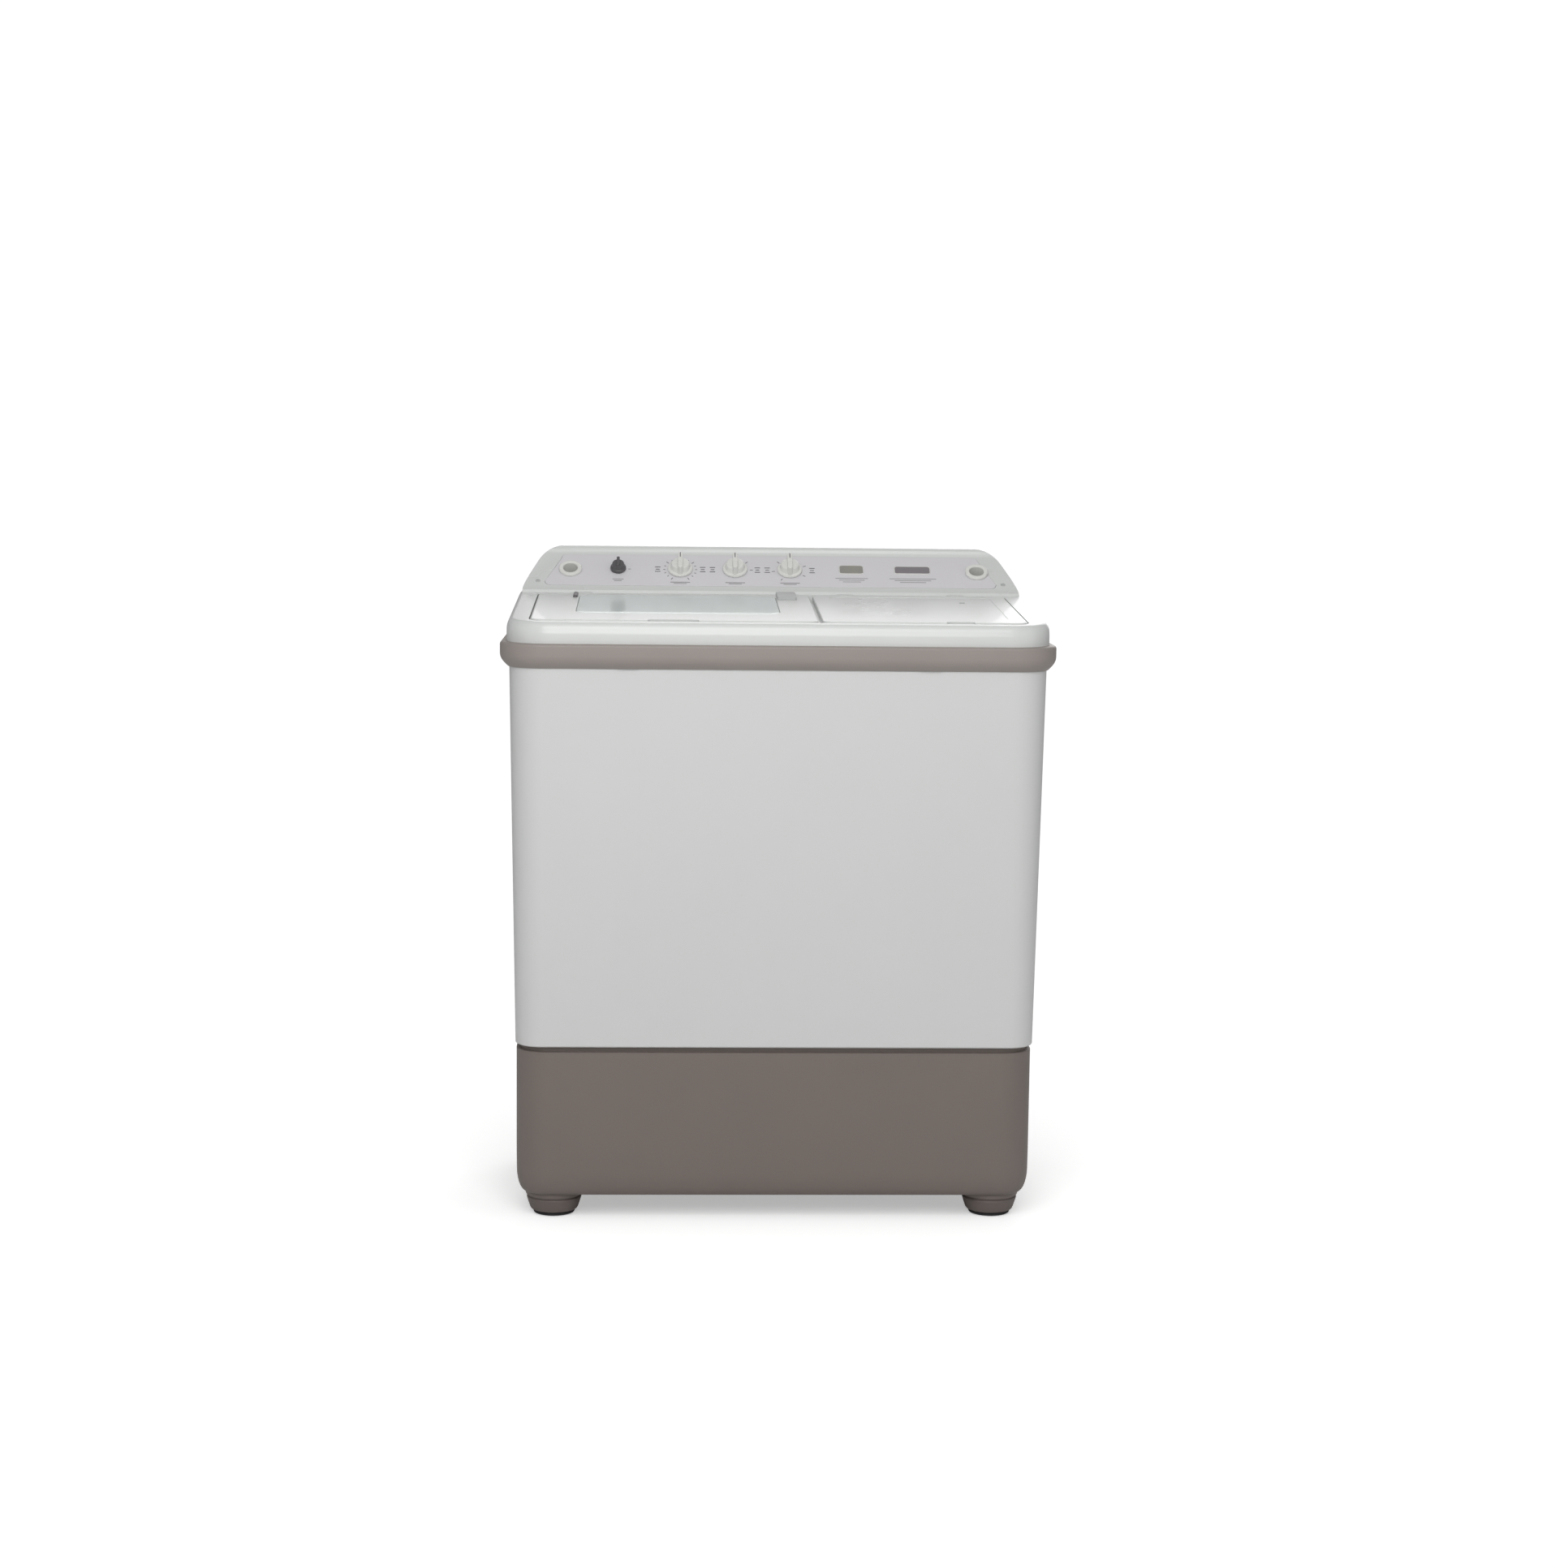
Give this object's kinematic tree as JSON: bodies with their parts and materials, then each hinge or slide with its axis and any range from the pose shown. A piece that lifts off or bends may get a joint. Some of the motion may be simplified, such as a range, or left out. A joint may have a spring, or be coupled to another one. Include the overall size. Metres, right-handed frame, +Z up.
{
  "type": "twin tub washing machine",
  "caption": "Free-standing twin tub washer: wash tub with pulsator under a windowed lid, spin basket under a plain lid, sloped rear panel with dials.",
  "frame": {"origin": "on the floor, under the middle of the trim band", "axes": "+X to the right seen from the front, +Y to the back, +Z up"},
  "size_m": [0.79, 0.46, 0.9536],
  "materials": {
    "shell_white": "smooth moulded, soft sheen",
    "cabinet_grey": "fine satin",
    "taupe": "satin",
    "foot_brown": "satin",
    "window_aqua": "clear, tinted blue-green",
    "panel_film": "satin",
    "knob_white": "smooth",
    "dark_plastic": "satin",
    "tub_plastic": "smooth",
    "blue_plastic": "smooth",
    "red_plastic": "satin",
    "rubber_black": "matte",
    "steel": "machined",
    "motor_grey": "satin",
    "cast_alloy": "as cast",
    "body_cream": "satin"
  },
  "bodies": {
    "machine": {"base": "taupe", "feet": "foot_brown", "foot_pads": "rubber_black", "cabinet": "cabinet_grey", "rear_cover": "cabinet_grey", "rear_cover_screws": "steel", "trim_band": "taupe", "top_deck": "shell_white", "rear_console": "shell_white", "splash_rings": "shell_white", "control_panel": "panel_film", "badge": "dark_plastic", "inlet_ports": "knob_white", "inlet_ducts": "tub_plastic", "wash_timer": "body_cream", "selector_switch": "dark_plastic", "spin_timer": "body_cream", "water_selector_valve": "tub_plastic", "wash_tub": "tub_plastic", "overflow_cover": "tub_plastic", "filter_rail": "tub_plastic", "wash_bearing_housing": "cast_alloy", "wash_seal": "rubber_black", "drive_belt": "rubber_black", "wash_motor": "motor_grey", "wash_motor_bracket": "motor_grey", "motor_mounts": "rubber_black", "spin_outer_tub": "tub_plastic", "spin_bellows": "rubber_black", "spin_motor": "motor_grey", "spin_mounts": "rubber_black", "drain_valve_box": "tub_plastic", "drain_pipe": "dark_plastic", "capacitor": "body_cream", "cord_gland": "rubber_black"},
    "wash_lid_body": {"wash_lid": "shell_white", "wash_lid_window": "window_aqua", "wash_lid_pins": "steel"},
    "spin_lid_body": {"spin_lid": "shell_white", "spin_lid_pins": "steel"},
    "wash_timer_dial": {"wash_timer_knob": "knob_white", "wash_timer_shaft": "steel"},
    "selector_dial": {"selector_knob": "knob_white", "selector_shaft": "steel"},
    "spin_timer_dial": {"spin_timer_knob": "knob_white", "spin_timer_shaft": "steel"},
    "water_selector_dial": {"water_selector_knob": "dark_plastic"},
    "filter_body": {"lint_filter": "blue_plastic"},
    "agitator": {"pulsator": "blue_plastic", "pulsator_screw": "steel", "pulsator_shaft": "steel", "wash_pulley": "cast_alloy"},
    "motor_rotor": {"wash_motor_shaft": "steel", "wash_motor_pulley": "cast_alloy"},
    "spinner": {"spin_basket": "tub_plastic", "spin_mat": "blue_plastic", "spin_shaft": "steel", "brake_drum": "cast_alloy"},
    "brake_arm": {"brake_lever": "motor_grey"},
    "drain_stopper": {"drain_plunger": "red_plastic"}
  },
  "joints": [
    {"name": "wash_lid_hinge", "type": "hinge", "parent": "machine", "child": "wash_lid_body", "pos_m": [-0.15, 0.13115, 0.88205], "axis": [-1, 0, 0], "range_deg": [0, 98]},
    {"name": "spin_lid_hinge", "type": "hinge", "parent": "machine", "child": "spin_lid_body", "pos_m": [0.2065, 0.13115, 0.88205], "axis": [-1, 0, 0], "range_deg": [0, 98]},
    {"name": "wash_timer_turn", "type": "hinge", "parent": "machine", "child": "wash_timer_dial", "pos_m": [-0.139, 0.17954, 0.91928], "axis": [0, 0.6018, -0.7986], "range_deg": [0, 300]},
    {"name": "selector_turn", "type": "hinge", "parent": "machine", "child": "selector_dial", "pos_m": [-0.055, 0.17954, 0.91928], "axis": [0, 0.6018, -0.7986], "range_deg": [0, 90]},
    {"name": "spin_timer_turn", "type": "hinge", "parent": "machine", "child": "spin_timer_dial", "pos_m": [0.029, 0.17954, 0.91928], "axis": [0, 0.6018, -0.7986], "range_deg": [0, 270]},
    {"name": "water_selector_turn", "type": "hinge", "parent": "machine", "child": "water_selector_dial", "pos_m": [-0.234, 0.17954, 0.91928], "axis": [0, 0.6018, -0.7986], "range_deg": [0, 90]},
    {"name": "filter_lift", "type": "slide", "parent": "machine", "child": "filter_body", "axis": [0, 0, 1], "range_m": [0, 0.12]},
    {"name": "pulsator_spin", "type": "hinge", "parent": "machine", "child": "agitator", "pos_m": [-0.15, -0.032, 0.29], "axis": [0, 0, 1], "continuous": true},
    {"name": "wash_motor_spin", "type": "hinge", "parent": "machine", "child": "motor_rotor", "pos_m": [-0.29, 0.07, 0.16], "axis": [0, 0, 1], "continuous": true},
    {"name": "basket_spin", "type": "hinge", "parent": "machine", "child": "spinner", "pos_m": [0.212, -0.032, 0.36], "axis": [0, 0, 1], "continuous": true},
    {"name": "brake_turn", "type": "hinge", "parent": "machine", "child": "brake_arm", "pos_m": [0.286, -0.01, 0.21], "axis": [0, 0, 1], "range_deg": [0, 0.9]},
    {"name": "drain_lift", "type": "slide", "parent": "machine", "child": "drain_stopper", "axis": [0, 0, 1], "range_m": [0, 0.012]}
  ],
  "couplings": [
    {"joint": "wash_motor_spin", "follows": "pulsator_spin", "ratio": 3.24},
    {"joint": "drain_lift", "follows": "selector_turn", "m_per_rad": 0.00763},
    {"joint": "brake_turn", "follows": "spin_lid_hinge", "ratio": 0.009}
  ]
}
